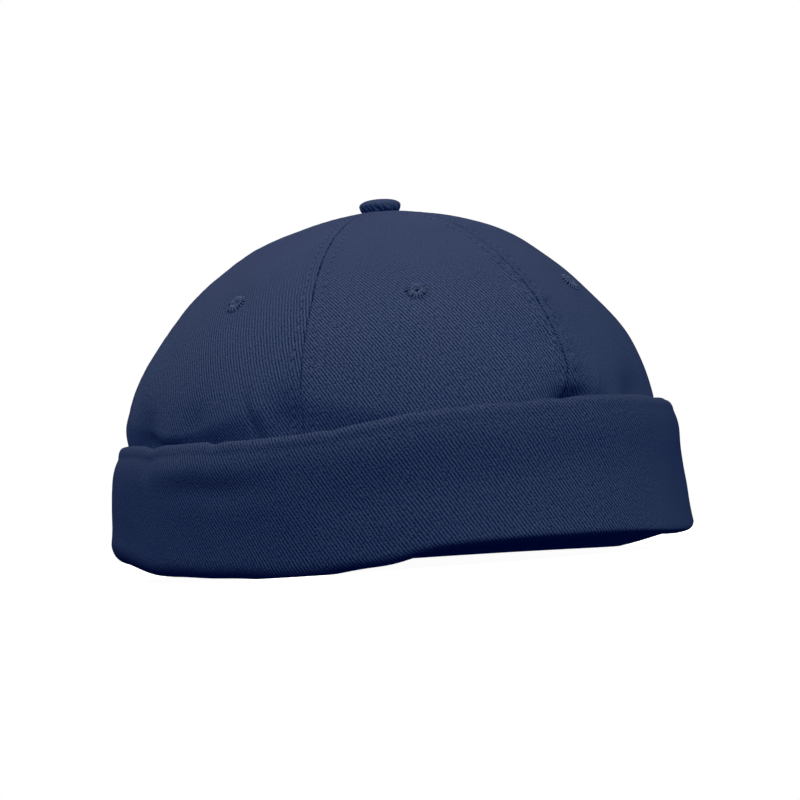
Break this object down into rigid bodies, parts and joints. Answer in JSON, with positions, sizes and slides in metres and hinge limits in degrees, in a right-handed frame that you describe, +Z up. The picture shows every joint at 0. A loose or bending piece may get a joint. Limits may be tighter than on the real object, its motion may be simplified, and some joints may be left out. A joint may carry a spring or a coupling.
{
  "type": "docker cap",
  "caption": "Brimless close-fitting cloth cap of sewn gores with a covered top button, embroidered air holes and a turned-up cuff; worn on the head.",
  "frame": {"origin": "under the middle of the cap's box, on the surface that its rim stands on", "axes": "+Z up through the button, -Y to the wearer's front, +X to the wearer's left"},
  "size_m": [0.1928, 0.2146, 0.1277],
  "materials": {
    "twill": "navy cotton twill, matt, with a fine diagonal rib",
    "thread": "navy sewing thread, slightly glossy"
  },
  "bodies": {
    "root": {"crown_panel_front_left": "twill", "crown_panel_left": "twill", "crown_panel_back_left": "twill", "crown_panel_back_right": "twill", "crown_panel_right": "twill", "crown_panel_front_right": "twill", "eyelet_front_left": "thread", "eyelet_left": "thread", "eyelet_back_left": "thread", "eyelet_back_right": "thread", "eyelet_right": "thread", "eyelet_front_right": "thread", "button": "twill", "cuff": "twill"}
  },
  "joints": []
}
